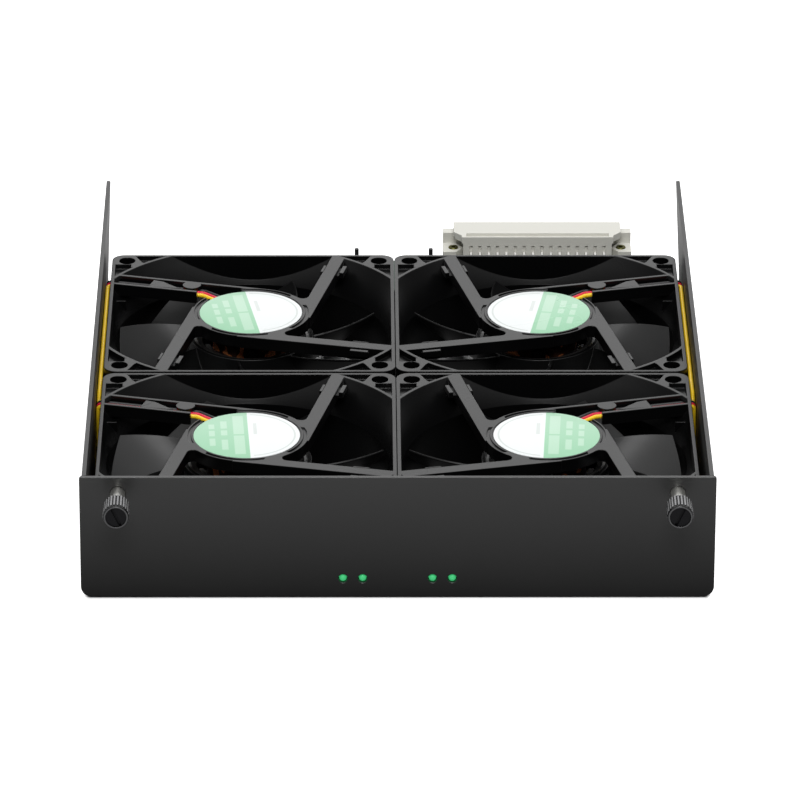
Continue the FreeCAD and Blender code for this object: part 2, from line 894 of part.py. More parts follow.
def connector_contacts():
    """Two rows of square pins that pass through the housing and turn down."""
    pins = []
    half = contact_side / 2
    for i in range(contact_count):
        cx = connector_x + (i - (contact_count - 1) / 2) * contact_pitch
        for out, z in ((1.0, board_top + 7.1), (2.5, board_top + 4.4)):
            y = connector_y - out
            run = box(cx - half, cx + half, y - half, connector_y + 8.9, z - half, z + half)
            drop = box(cx - half, cx + half, y - half, y + half, board_top, z + half)
            pins.append(run.fuse(drop).removeSplitter())
    return pins


def connector_rivets():
    """Tubular rivets through the lugs and the board."""
    low = board_low - 0.3
    top = board_top + lug_height
    rivet = revolve([
        (0.6, low), (1.0, low), (1.0, top), (1.45, top), (1.3, top + 0.3), (0.6, top + 0.3),
    ])
    return [moved(rivet, x, y, 0) for x, y in rivet_places()]


def board_standoffs():
    one = tube(2.4, 1.3, shelf_height, board_low)
    return [moved(one, x, y, 0) for x, y in standoff_places()]


def board_screws():
    screws = []
    tip = shelf_height - sheet
    for x, y in standoff_places():
        head = rod(2.3, Vector(x, y, board_top), Z, 1.5)
        screws.append(head.fuse(rod(1.25, Vector(x, y, tip), Z, board_top + 0.8 - tip)))
    return screws


def board_posts():
    """Slim posts that locate the board and stand above it."""
    posts = []
    for s in (-1, 1):
        foot = Vector(s * post_x, post_y, shelf_height - sheet)
        posts.append(rod(0.6, foot, Z, post_top - foot.z))
    return posts


# ------------------------------------------------------- lamps, thumbscrews

def status_lamps():
    """Small domed lamps with a collar, seated just behind the panel's face."""
    lamp = revolve([
        (0, 0), (0.6, 0.1), (0.95, 0.45), (0.95, 2.4), (1.3, 2.4), (1.3, 2.9), (0, 2.9),
    ])
    lamp.rotate(Vector(0, 0, 0), X, -90)
    lamps = []
    for side in (-1, 1):
        for x in lamp_x:
            lamps.append(moved(lamp, side * x, front_y + 0.15, lamp_z))
    return lamps


def lamp_board():
    y0 = front_y + 3.05
    return box(-20.0, 20.0, y0, y0 + 0.8, sheet + 0.2, 9.4)


def lamp_spacers():
    spacers = []
    for s in (-1, 1):
        spacers.append(rod(1.2, Vector(s * 18.3, panel_back_y, lamp_z), Y, 3.05 - panel_thickness))
    return spacers


def along_screw(profile):
    """Turn (radius, distance in front of the panel) pairs about a thumbscrew's axis."""
    solid = revolve([(r, s) for r, s in profile])
    solid.rotate(Vector(0, 0, 0), X, 90)
    return moved(solid, -screw_x, front_y, screw_z)


def screw_sleeve():
    """Polished sleeve with an inner step, flared over behind the panel."""
    back = -panel_thickness
    step = screw_radius + 0.1
    return along_screw([
        (step, back - 0.7), (3.3, back - 0.7), (3.3, back), (sleeve_radius, back),
        (sleeve_radius, sleeve_length), (sleeve_bore, sleeve_length),
        (sleeve_bore, 0.6), (step, 0.6),
    ])


def knob():
    """Hollow knob with straight ribs and a plain ring at the face."""
    ribs = 24
    back = sleeve_length
    face = knob_reach
    points = []
    for i in range(ribs):
        for part, radius in ((0.0, 3.2), (0.3, 3.5), (0.7, 3.5)):
            a = 2 * math.pi * (i + part) / ribs
            points.append(Vector(radius * math.cos(a), radius * math.sin(a), back + 0.3))
    body = prism(points, Z * (face - back - 1.2))
    rings = [
        revolve([(0, back), (3.0, back), (3.2, back + 0.3), (0, back + 0.3)]),
        revolve([(0, face - 1.0), (3.3, face - 0.9), (3.3, face - 0.2), (3.1, face), (0, face)]),
    ]
    loose = sleeve_radius + 0.2
    bore = revolve([
        (0, 4), (loose, 4), (loose, face - 2.2), (collar_radius, face - 2.2),
        (collar_radius, face - 1.6), (2.75, face - 1.6), (2.75, face + 1), (0, face + 1),
    ])
    solid = body.fuse(rings).cut(bore).removeSplitter()
    solid.rotate(Vector(0, 0, 0), X, 90)
    return moved(solid, -screw_x, front_y, screw_z)


def screw():
    """Slotted head in the knob, collar, slim neck, and a free threaded end."""
    head = knob_reach - 1.6
    body = along_screw([
        (0, screw_tip), (screw_radius - 0.35, screw_tip), (screw_radius, screw_tip + 0.35),
        (screw_radius, thread_from), (neck_radius, thread_from),
        (neck_radius, sleeve_length), (collar_radius, sleeve_length), (collar_radius, head),
        (2.7, head), (2.7, head + 1.2), (0, head + 1.2),
    ])
    slot = box(-3, 3, -head - 2, -head - 0.5, -0.4, 0.4)
    slot.rotate(Vector(0, 0, 0), Y, 65)
    return body.cut(moved(slot, -screw_x, front_y, screw_z))


def screw_clip():
    """Ring on the neck that stops the screw from leaving the sleeve."""
    back = -panel_thickness - 0.75
    return along_screw([
        (neck_radius, back - 0.6), (2.6, back - 0.6), (2.6, back), (neck_radius, back),
    ])


def thrust_washer():
    """Washer between the spring and the screw's collar. It does not turn."""
    z = sleeve_length - 0.05
    inner = neck_radius + 0.1
    return along_screw([(inner, z - 0.5), (collar_radius, z - 0.5), (collar_radius, z), (inner, z)])


def screw_spring():
    """Return spring inside the sleeve, drawn plain at its pressed length."""
    inner = neck_radius + 0.15
    outer = sleeve_bore - 0.1
    return along_screw([(inner, 0.6), (outer, 0.6), (outer, 3.0), (inner, 3.0)])


def save_thumbscrews():
    moving = {
        "thumbscrew_knob": knob(),
        "thumbscrew_screw": screw(),
        "thumbscrew_clip": screw_clip(),
        "thumbscrew_washer": thrust_washer(),
    }
    for name, shape in moving.items():
        save(name + "_left", [shape])
        save(name + "_right", [mirrored(shape)])
    fixed = {"thumbscrew_sleeves": screw_sleeve(), "thumbscrew_springs": screw_spring()}
    for name, shape in fixed.items():
        save(name, [shape, mirrored(shape)])


os.makedirs("parts", exist_ok=True)
save("chassis_tray", [chassis_tray()])
save("front_panel", [front_panel()])
save("panel_studs", panel_studs())
save("panel_nuts", panel_nuts())
save_fans()
save("fan_screws", fan_screws())
save_leads()
save("connector_board", [connector_board()])
save("board_headers", board_headers())
save("lead_plugs", lead_plugs())
save("connector_housing", [connector_housing()])
save("connector_contacts", connector_contacts())
save("connector_rivets", connector_rivets())
save("board_standoffs", board_standoffs())
save("board_screws", board_screws())
save("board_posts", board_posts())
save("status_lamps", status_lamps())
save("lamp_board", [lamp_board()])
save("lamp_spacers", lamp_spacers())
save_thumbscrews()
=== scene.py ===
import math

import bpy
from mathutils import Matrix, Vector


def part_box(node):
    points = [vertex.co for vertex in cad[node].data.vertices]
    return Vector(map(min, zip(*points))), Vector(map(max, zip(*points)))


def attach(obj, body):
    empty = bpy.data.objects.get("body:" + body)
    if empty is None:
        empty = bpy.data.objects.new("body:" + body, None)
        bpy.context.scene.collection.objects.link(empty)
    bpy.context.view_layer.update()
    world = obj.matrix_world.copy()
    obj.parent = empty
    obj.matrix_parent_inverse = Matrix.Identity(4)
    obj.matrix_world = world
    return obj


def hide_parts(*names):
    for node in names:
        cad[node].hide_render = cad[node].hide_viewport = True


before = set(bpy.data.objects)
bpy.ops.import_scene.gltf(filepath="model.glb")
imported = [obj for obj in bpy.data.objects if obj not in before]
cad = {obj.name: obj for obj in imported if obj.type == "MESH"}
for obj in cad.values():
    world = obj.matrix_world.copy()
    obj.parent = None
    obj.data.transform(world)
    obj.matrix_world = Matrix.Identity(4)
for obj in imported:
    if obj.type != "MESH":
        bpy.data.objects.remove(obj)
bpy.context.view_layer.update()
mm = 0.001


# ------------------------------------------------------------------ the view
# A long lens stands well in front of the tray and looks down on it, a little
# to the left of its middle.

eye = Vector((-12.59, -1658.38, 780.30)) * mm
look_down = math.radians(24.783)
look_right = math.radians(0.478)
tilt = math.radians(0.186)

lens = bpy.data.cameras.new("long_lens")
lens.sensor_width = 36.0
lens.lens = 298.26
lens.clip_end = 60.0
camera = bpy.data.objects.new("camera", lens)
bpy.context.scene.collection.objects.link(camera)
camera.matrix_world = (
    Matrix.Translation(eye)
    @ Matrix.Rotation(-look_right, 4, "Z")
    @ Matrix.Rotation(math.pi / 2 - look_down, 4, "X")
    @ Matrix.Rotation(tilt, 4, "Z")
)
bpy.context.scene.camera = camera
bpy.context.scene.view_settings.view_transform = "Standard"


# ----------------------------------------------------------------- the floor
# Seamless white paper. The lens sees it glow nearly burnt out, a painted light
# that hides the tray's shadow round it, though not beneath the tray. What the
# tray mirrors of it is a glow with painted shade, dim close by and bright
# farther off. It is clear from below.

paper_radius = 9.0
paper_drop = 0.2
paper_middle = 6.25
under_half_width = 81.5
under_half_length = 86.25
burn_reach = 1.5
painted_shade_reach = 100


def reckon(tree, operation, vector, by=(0, 0, 0)):
    """One step of vector arithmetic. A length comes out as a plain value."""
    step = tree.nodes.new("ShaderNodeVectorMath")
    step.operation = operation
    tree.links.new(vector, step.inputs[0])
    step.inputs[1].default_value = by
    return step.outputs["Value" if operation == "LENGTH" else "Vector"]


def ramp(tree, value, start, end, low=0.0, high=1.0, kind="LINEAR"):
    """From low at the start to high at the end, and level beyond them."""
    spread = tree.nodes.new("ShaderNodeMapRange")
    spread.interpolation_type = kind
    spread.inputs["From Min"].default_value = start
    spread.inputs["From Max"].default_value = end
    spread.inputs["To Min"].default_value = low
    spread.inputs["To Max"].default_value = high
    tree.links.new(value, spread.inputs["Value"])
    return spread.outputs["Result"]


bpy.ops.mesh.primitive_circle_add(
    vertices=96, radius=paper_radius, fill_type="NGON", location=(0, 0, -paper_drop * mm))
floor = bpy.context.object
floor.name = "studio_floor"
paper = bpy.data.materials.new("studio_paper")
paper.use_nodes = True
nodes = paper.node_tree.nodes
links = paper.node_tree.links
seen_paper = nodes["Principled BSDF"]
seen_paper.inputs["Base Color"].default_value = (0.86, 0.86, 0.86, 1)
seen_paper.inputs["Roughness"].default_value = 0.9
seen_paper.inputs["Specular IOR Level"].default_value = 0.1
seen_paper.inputs["Emission Color"].default_value = (1, 1, 1, 1)
place = nodes.new("ShaderNodeTexCoord")
from_middle = reckon(paper.node_tree, "ADD", place.outputs["Object"], (0, paper_middle * mm, 0))
either_side = reckon(paper.node_tree, "ABSOLUTE", from_middle)
tray_half = (under_half_width * mm, under_half_length * mm, 0)
beyond_tray = reckon(paper.node_tree, "SUBTRACT", either_side, tray_half)
outside_tray = reckon(paper.node_tree, "MAXIMUM", beyond_tray)
distance = reckon(paper.node_tree, "LENGTH", outside_tray)
# The glow the lens sees fades out at the tray's edge, so the paper beneath stays dark: painted light round
# the tray, painted shade beneath it.
burn = ramp(paper.node_tree, distance, 0.0, burn_reach * mm, 0.0, 0.85)
links.new(burn, seen_paper.inputs["Emission Strength"])
# What the tray mirrors is a glow dim near the tray and bright far off: a painted shadow round it.
mirrored_paper = nodes.new("ShaderNodeEmission")
painted_shade_glow = ramp(paper.node_tree, distance, 0.0, painted_shade_reach * mm, 0.10, 0.95)
links.new(painted_shade_glow, mirrored_paper.inputs["Strength"])
path = nodes.new("ShaderNodeLightPath")
which = nodes.new("ShaderNodeMixShader")
links.new(path.outputs["Is Camera Ray"], which.inputs["Fac"])
links.new(mirrored_paper.outputs["Emission"], which.inputs[1])
links.new(seen_paper.outputs["BSDF"], which.inputs[2])
facing = nodes.new("ShaderNodeNewGeometry")
clear = nodes.new("ShaderNodeBsdfTransparent")
either = nodes.new("ShaderNodeMixShader")
links.new(facing.outputs["Backfacing"], either.inputs["Fac"])
links.new(which.outputs["Shader"], either.inputs[1])
links.new(clear.outputs["BSDF"], either.inputs[2])
links.new(either.outputs["Shader"], nodes["Material Output"].inputs["Surface"])
floor.data.materials.append(paper)


# ---------------------------------------------------------------- the lights
# A bright backdrop behind, a softer ceiling, a dim room in front, and two
# softboxes.

backdrop_glow = 1.50
ceiling_glow = 1.15
room_glow = 0.08
world = bpy.data.worlds.new("studio_room")
bpy.context.scene.world = world
world.use_nodes = True
air = world.node_tree
way = air.nodes.new("ShaderNodeTexCoord")
parts_of_way = air.nodes.new("ShaderNodeSeparateXYZ")
air.links.new(way.outputs["Generated"], parts_of_way.inputs[0])
backward = parts_of_way.outputs["Y"]
upward = parts_of_way.outputs["Z"]
backdrop = ramp(air, backward, 0.5, 0.92, room_glow, backdrop_glow, "SMOOTHSTEP")
ceiling = ramp(air, upward, 0.45, 1.0, 0.0, ceiling_glow, "SMOOTHSTEP")
glow = air.nodes.new("ShaderNodeMath")
glow.operation = "MAXIMUM"
air.links.new(backdrop, glow.inputs[0])
air.links.new(ceiling, glow.inputs[1])
air.nodes["Background"].inputs["Color"].default_value = (1, 1, 1, 1)
air.links.new(glow.outputs[0], air.nodes["Background"].inputs["Strength"])


def softbox(name, place, target, width, depth, watts):
    """Rectangular light at this place, turned to the target."""
    lamp = bpy.data.lights.new(name, "AREA")
    lamp.shape = "RECTANGLE"
    lamp.size = width
    lamp.size_y = depth
    lamp.energy = watts
    holder = bpy.data.objects.new(name, lamp)
    bpy.context.scene.collection.objects.link(holder)
    holder.location = place
    holder.rotation_euler = (Vector(target) - Vector(place)).to_track_quat("-Z", "Y").to_euler()


tray_middle = (0, 0, 0)
softbox("overhead_softbox", (0, -0.15, 1.7), tray_middle, width=1.5, depth=1.1, watts=8)
softbox("front_softbox", (0, -1.5, 1.5), tray_middle, width=0.7, depth=0.5, watts=22)


# ---------------------------------------------------------- the sheet metal
# The tray is folded from 1.2 mm steel and powder coated a satin black. The
# fine grain of the powder shows only close up.

def grain_group():
    """Colour, roughness and height of a surface with broad and fine grain."""
    group = bpy.data.node_groups.new("surface_grain", "ShaderNodeTree")
    face = group.interface
    face.new_socket("Vector", in_out="INPUT", socket_type="NodeSocketVector")
    face.new_socket("Colour", in_out="INPUT", socket_type="NodeSocketColor")
    face.new_socket("Other Colour", in_out="INPUT", socket_type="NodeSocketColor")
    for name in ("Grain per Metre", "Cloud per Metre", "Least Roughness", "Most Roughness"):
        face.new_socket(name, in_out="INPUT", socket_type="NodeSocketFloat")
    face.new_socket("Colour", in_out="OUTPUT", socket_type="NodeSocketColor")
    face.new_socket("Roughness", in_out="OUTPUT", socket_type="NodeSocketFloat")
    face.new_socket("Height", in_out="OUTPUT", socket_type="NodeSocketFloat")
    nodes = group.nodes
    links = group.links
    given = nodes.new("NodeGroupInput")
    out = nodes.new("NodeGroupOutput")
    grain = nodes.new("ShaderNodeTexNoise")
    grain.inputs["Detail"].default_value = 3.0
    cloud = nodes.new("ShaderNodeTexNoise")
    cloud.inputs["Detail"].default_value = 4.0
    links.new(given.outputs["Vector"], grain.inputs["Vector"])
    links.new(given.outputs["Vector"], cloud.inputs["Vector"])
    links.new(given.outputs["Grain per Metre"], grain.inputs["Scale"])
    links.new(given.outputs["Cloud per Metre"], cloud.inputs["Scale"])
    mix = nodes.new("ShaderNodeMix")
    mix.data_type = "RGBA"
    links.new(cloud.outputs["Fac"], mix.inputs["Factor"])
    links.new(given.outputs["Colour"], mix.inputs["A"])
    links.new(given.outputs["Other Colour"], mix.inputs["B"])
    spread = nodes.new("ShaderNodeMapRange")
    links.new(cloud.outputs["Fac"], spread.inputs["Value"])
    spread.inputs["From Min"].default_value = 0.3
    spread.inputs["From Max"].default_value = 0.7
    links.new(given.outputs["Least Roughness"], spread.inputs["To Min"])
    links.new(given.outputs["Most Roughness"], spread.inputs["To Max"])
    links.new(mix.outputs["Result"], out.inputs["Colour"])
    links.new(spread.outputs["Result"], out.inputs["Roughness"])
    links.new(grain.outputs["Fac"], out.inputs["Height"])
    return group


surface_grain = grain_group()


def finish(name, colour, other, roughness, grain=2500, cloud=30, relief=0.02, metallic=0.0, ior=1.5):
    """Material with that grain. Its two colours and roughnesses are a spread, its relief is in mm."""
    material = bpy.data.materials.new(name)
    material.use_nodes = True
    nodes = material.node_tree.nodes
    links = material.node_tree.links
    shader = nodes["Principled BSDF"]
    shader.inputs["Metallic"].default_value = metallic
    shader.inputs["IOR"].default_value = ior
    place = nodes.new("ShaderNodeTexCoord")
    surface = nodes.new("ShaderNodeGroup")
    surface.node_tree = surface_grain
    surface.name = "surface"
    links.new(place.outputs["Object"], surface.inputs["Vector"])
    surface.inputs["Colour"].default_value = (*colour, 1)
    surface.inputs["Other Colour"].default_value = (*other, 1)
    surface.inputs["Grain per Metre"].default_value = grain
    surface.inputs["Cloud per Metre"].default_value = cloud
    surface.inputs["Least Roughness"].default_value = roughness[0]
    surface.inputs["Most Roughness"].default_value = roughness[1]
    bump = nodes.new("ShaderNodeBump")
    bump.inputs["Distance"].default_value = relief * mm
    links.new(surface.outputs["Colour"], shader.inputs["Base Color"])
    links.new(surface.outputs["Roughness"], shader.inputs["Roughness"])
    links.new(surface.outputs["Height"], bump.inputs["Height"])
    links.new(bump.outputs["Normal"], shader.inputs["Normal"])
    return material


def coat(material, *names):
    """Give CAD nodes this material."""
    for name in names:
        slots = cad[name].data.materials
        slots.clear()
        slots.append(material)


def take_up(piece):
    """Make this the only selected object."""
    bpy.ops.object.select_all(action="DESELECT")
    piece.select_set(True)
    bpy.context.view_layer.objects.active = piece


weld = 0.002
flat_angle = math.radians(0.5)
smooth_angle = math.radians(32)
sharp_angle = math.radians(35)


def ease(node, body, material, width):
    """Copy of a CAD piece with its sharp edges rounded off, which stands in for it."""
    low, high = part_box(node)
    middle = (Vector(low) + Vector(high)) / 2
    piece = bpy.data.objects.new(node + "_eased", cad[node].data.copy())
    bpy.context.scene.collection.objects.link(piece)
    take_up(piece)
    bpy.ops.mesh.customdata_custom_splitnormals_clear()
    bpy.ops.object.mode_set(mode="EDIT")
    bpy.ops.mesh.select_all(action="SELECT")
    bpy.ops.mesh.remove_doubles(threshold=weld * mm)
    bpy.ops.mesh.dissolve_limited(angle_limit=flat_angle)
    for across in ((1, 0, 0), (0, 1, 0)):
        bpy.ops.mesh.select_all(action="SELECT")
        bpy.ops.mesh.bisect(plane_co=middle, plane_no=across)
    bpy.ops.object.mode_set(mode="OBJECT")
    bpy.ops.object.shade_smooth_by_angle(angle=smooth_angle)
    rounding = piece.modifiers.new("rounding", "BEVEL")
    rounding.width = width * mm
    rounding.segments = 2
    rounding.limit_method = "ANGLE"
    rounding.angle_limit = sharp_angle
    rounding.use_clamp_overlap = False
    rounding.harden_normals = True
    bpy.ops.object.modifier_apply(modifier="rounding")
    piece.data.materials.clear()
    piece.data.materials.append(material)
    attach(piece, body)
    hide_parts(node)


tray_coat = finish(
    "tray_coat", (0.007, 0.007, 0.0075), (0.010, 0.010, 0.0105), (0.34, 0.42), grain=2200, relief=0.03)
coat(tray_coat, "chassis_tray")
ease("chassis_tray", "tray", tray_coat, width=0.18)


# ---------------------------------------------------------- the front panel
# A flat plate with a smoother satin coat. Nuts hold it by welded studs to the
# tray's front lips, so no screw head shows.

panel_coat = finish(
    "panel_coat", (0.009, 0.009, 0.009), (0.011, 0.011, 0.011), (0.34, 0.40),
    grain=3000, relief=0.01, ior=1.6)
coat(panel_coat, "front_panel")
ease("front_panel", "tray", panel_coat, width=0.25)

zinc = finish("zinc_plate", (0.62, 0.62, 0.60), (0.50, 0.50, 0.49), (0.25, 0.42), cloud=300, metallic=1.0)
coat(zinc, "panel_studs", "panel_nuts", "fan_screws", "board_screws")


# -------------------------------------------------------------- the fans
# Each frame is one moulding of black glass-filled plastic. Its gloss fades
# down into the duct as painted shade. The impellers are a smoother black, with
# their up-facing hub rims dulled as painted shade. Below the motor base the
# windings are painted dark as shade, with painted glints of copper.

sides = ("left", "right")
rows = ("front", "rear")
fans = [row + "_" + side for side in sides for row in rows]

duct_shade_foot = 18
duct_shade_top = 24
rim_level = 0.985
flat_level = 0.998
frame_plastic = finish(
    "frame_plastic", (0.0015, 0.0015, 0.0016), (0.0025, 0.0025, 0.0026), (0.24, 0.32),
    relief=0.03, ior=1.38)
impeller_plastic = finish(
    "impeller_plastic", (0.002, 0.002, 0.0021), (0.003, 0.003, 0.0031), (0.36, 0.44),
    relief=0.01, ior=1.42)
plated_steel = finish("plated_steel", (0.16, 0.16, 0.16), (0.10, 0.10, 0.10), (0.28, 0.40), metallic=1.0)
ground_steel = finish("ground_steel", (0.62, 0.62, 0.63), (0.55, 0.55, 0.56), (0.15, 0.25), metallic=1.0)
ferrite = finish("ferrite", (0.012, 0.011, 0.011), (0.018, 0.017, 0.016), (0.6, 0.8), ior=1.3)
core_steel = finish("core_steel", (0.20, 0.20, 0.21), (0.12, 0.12, 0.13), (0.35, 0.5), metallic=1.0)
# The windings are painted dark as shade; bright copper spots on them are painted glints.
copper = finish(
    "winding_copper", (0.06, 0.020, 0.008), (0.02, 0.007, 0.004), (0.38, 0.5), cloud=420, metallic=0.6)
motor_mask = finish("motor_board_mask", (0.010, 0.07, 0.03), (0.012, 0.09, 0.04), (0.25, 0.35))


def own_place(material):
    """The place on the piece that the material's grain reads."""
    return material.node_tree.nodes["surface"].inputs["Vector"].links[0].from_socket


def axis_of(tree, vector, axis):
    """One coordinate of a vector."""
    split = tree.nodes.new("ShaderNodeSeparateXYZ")
    tree.links.new(vector, split.inputs[0])
    return split.outputs[axis]


def painted_shade_gloss(material, share, ior, roughness, beneath):
    """Glossy coat over the given share of the piece, with a dull plastic beneath. Less coat is painted
    shade.
    """
    shader = material.node_tree.nodes["Principled BSDF"]
    material.node_tree.links.new(share, shader.inputs["Coat Weight"])
    shader.inputs["Coat IOR"].default_value = ior
    shader.inputs["Coat Roughness"].default_value = roughness
    shader.inputs["Specular IOR Level"].default_value = beneath


# Painted shade: the frame's gloss is full at the top and fades to none low in the duct.
tree = frame_plastic.node_tree
height = axis_of(tree, own_place(frame_plastic), "Z")
gloss_with_painted_duct_shade = ramp(tree, height, duct_shade_foot * mm, duct_shade_top * mm, 0.0, 0.70)
painted_shade_gloss(frame_plastic, gloss_with_painted_duct_shade, ior=1.36, roughness=0.28, beneath=0.1)

# Painted shade: faces turned straight up, the hub rims, lose their gloss.
tree = impeller_plastic.node_tree
facing = tree.nodes.new("ShaderNodeNewGeometry")
level = axis_of(tree, facing.outputs["Normal"], "Z")
gloss_with_painted_rim_shade = ramp(tree, level, rim_level, flat_level, 0.8, 0.0)
painted_shade_gloss(impeller_plastic, gloss_with_painted_rim_shade, ior=1.4, roughness=0.4, beneath=0.08)

# Painted glints: noise picks small spots that turn bright copper on the darkened windings.
nodes = copper.node_tree.nodes
links = copper.node_tree.links
turns = nodes.new("ShaderNodeTexNoise")
turns.inputs["Scale"].default_value = 260
turns.inputs["Detail"].default_value = 1.0
links.new(own_place(copper), turns.inputs["Vector"])
painted_glint = ramp(copper.node_tree, turns.outputs["Fac"], 0.55, 0.60)
painted_glint_colour = nodes.new("ShaderNodeMix")
painted_glint_colour.data_type = "RGBA"
painted_glint_colour.inputs["B"].default_value = (1.0, 0.34, 0.12, 1)
links.new(painted_glint, painted_glint_colour.inputs["Factor"])
links.new(nodes["surface"].outputs["Colour"], painted_glint_colour.inputs["A"])
links.new(painted_glint_colour.outputs["Result"], nodes["Principled BSDF"].inputs["Base Color"])

for fan in fans:
    coat(frame_plastic, "fan_frame_" + fan)
    coat(impeller_plastic, "impeller_" + fan)
    coat(plated_steel, "rotor_yoke_" + fan, "shaft_clip_" + fan)
    coat(ferrite, "rotor_magnet_" + fan)
    coat(ground_steel, "rotor_shaft_" + fan)
    ease("fan_frame_" + fan, "tray", frame_plastic, width=0.16)
    ease("impeller_" + fan, "rotor_" + fan, impeller_plastic, width=0.2)
coat(core_steel, "stator_cores")
coat(copper, "stator_windings")
coat(motor_mask, "motor_boards")
coat(ground_steel, "fan_bearings")


# -------------------------------------------------------------- the labels
# Round printed films on the motor bases, one part pale green and one part
# white. Plain bars stand where a maker would print.

label_radius = 14.3
label_low = 25.95
label_high = 26.15
label_x = 40.25
label_y = {"front": -47.45, "rear": 33.55}
label_turn = {"front": 3.0, "rear": 9.1}
film_round = 0.05

discs = []
for side in sides:
    for row in rows:
        flip = 1 if side == "left" else -1
        middle = Vector((-flip * label_x, label_y[row], (label_low + label_high) / 2)) * mm
        bpy.ops.mesh.primitive_cylinder_add(
            vertices=96, radius=label_radius * mm, depth=(label_high - label_low) * mm, location=middle)
        disc = bpy.context.object
        bpy.ops.object.transform_apply(location=True, rotation=True, scale=True)
        film_edge = disc.modifiers.new("film_edge", "BEVEL")
        film_edge.width = film_round * mm
        film_edge.segments = 2
        bpy.ops.object.modifier_apply(modifier="film_edge")
        for layer in list(disc.data.uv_layers):
            disc.data.uv_layers.remove(layer)
        print_map = disc.data.uv_layers.new(name="print")
        turn = math.radians(label_turn[row])
        for loop in disc.data.loops:
            point = (disc.data.vertices[loop.vertex_index].co - middle) / (label_radius * mm)
            x = flip * point.x
            u = x * math.cos(turn) + point.y * math.sin(turn)
            v = point.y * math.cos(turn) - x * math.sin(turn)
            print_map.data[loop.index].uv = (0.5 + 0.5 * u, 0.5 + 0.5 * v)
        discs.append(disc)
for disc in discs:
    disc.select_set(True)
bpy.context.view_layer.objects.active = discs[0]
bpy.ops.object.join()
labels = bpy.context.object
labels.name = "printed_labels"
bpy.context.scene.cursor.location = (0, 0, 0)
bpy.ops.object.origin_set(type="ORIGIN_CURSOR")
bpy.ops.object.shade_smooth_by_angle(angle=math.radians(30))

label_film = finish("label_film", (0.76, 0.79, 0.79), (0.78, 0.81, 0.81), (0.26, 0.34), relief=0.004)
nodes = label_film.node_tree.nodes
links = label_film.node_tree.links
film = nodes["Principled BSDF"]
print_uv = nodes.new("ShaderNodeUVMap")
print_uv.uv_map = "print"
centred = nodes.new("ShaderNodeMapping")
centred.inputs["Location"].default_value = (-1, -1, 0)
centred.inputs["Scale"].default_value = (2, 2, 1)
links.new(print_uv.outputs["UV"], centred.inputs["Vector"])
from_middle = reckon(label_film.node_tree, "LENGTH", centred.outputs["Vector"])


def near(value, middle, half):
    """1 where the value is within half of the middle, else 0."""
    compare = nodes.new("ShaderNodeMath")
    compare.operation = "COMPARE"
    links.new(value, compare.inputs[0])
    compare.inputs[1].default_value = middle
    compare.inputs[2].default_value = half
    return compare.outputs[0]


def both(a, b):
    """1 where both masks are 1."""
    joint = nodes.new("ShaderNodeMath")
    joint.operation = "MULTIPLY"
    links.new(a, joint.inputs[0])
    links.new(b, joint.inputs[1])
    return joint.outputs[0]


def ink(ground, mask, colour):
    """The ground with this colour where the mask is 1."""
    mix = nodes.new("ShaderNodeMix")
    mix.data_type = "RGBA"
    links.new(mask, mix.inputs["Factor"])
    links.new(ground, mix.inputs["A"])
    mix.inputs["B"].default_value = (*colour, 1)
    return mix.outputs["Result"]


green = (0.305, 0.575, 0.38)
pale_green = (0.44, 0.66, 0.50)
grey = (0.62, 0.66, 0.64)
ring_grey = (0.60, 0.64, 0.62)
u = axis_of(label_film.node_tree, centred.outputs["Vector"], "X")
v = axis_of(label_film.node_tree, centred.outputs["Vector"], "Y")
paint = nodes["surface"].outputs["Colour"]
paint = ink(paint, near(u, -0.982, 1.017), green)
# Middle and half width along the label, then middle and half height, of each bar.
green_bars = [
    (-0.65, 0.055, 0.40, 0.10), (-0.65, 0.055, 0.10, 0.12), (-0.65, 0.055, -0.28, 0.16),
    (-0.42, 0.060, 0.47, 0.16), (-0.42, 0.060, 0.12, 0.11), (-0.42, 0.060, -0.40, 0.22),
    (-0.145, 0.10, 0.45, 0.40), (-0.145, 0.10, -0.42, 0.41),
]
for bar_u, half_u, bar_v, half_v in green_bars:
    paint = ink(paint, both(near(u, bar_u, half_u), near(v, bar_v, half_v)), pale_green)
paint = ink(paint, both(near(u, 0.165, 0.035), near(v, 0.275, 0.245)), grey)
ring = near(from_middle, 0.905, 0.018)
paint = ink(paint, both(ring, near(u, 0.55, 0.45)), ring_grey)
links.new(paint, film.inputs["Base Color"])
labels.data.materials.append(label_film)
coat(label_film, "fan_labels")
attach(labels, "tray")
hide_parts("fan_labels")


# -------------------------------------------------------------- the leads
# PVC-insulated wires, one yellow, one red and one black for each fan. They
# leave the motor, lie in the frame's channel and run back beside the fans.

yellow_pvc = finish("yellow_pvc", (0.90, 0.60, 0.02), (0.84, 0.54, 0.015), (0.25, 0.35))
red_pvc = finish("red_pvc", (0.66, 0.012, 0.05), (0.58, 0.01, 0.04), (0.25, 0.35))
black_pvc = finish("black_pvc", (0.010, 0.010, 0.011), (0.016, 0.016, 0.017), (0.25, 0.35))
coat(yellow_pvc, "fan_leads_yellow")
coat(red_pvc, "fan_leads_red")
coat(black_pvc, "fan_leads_black", "lamp_lead")


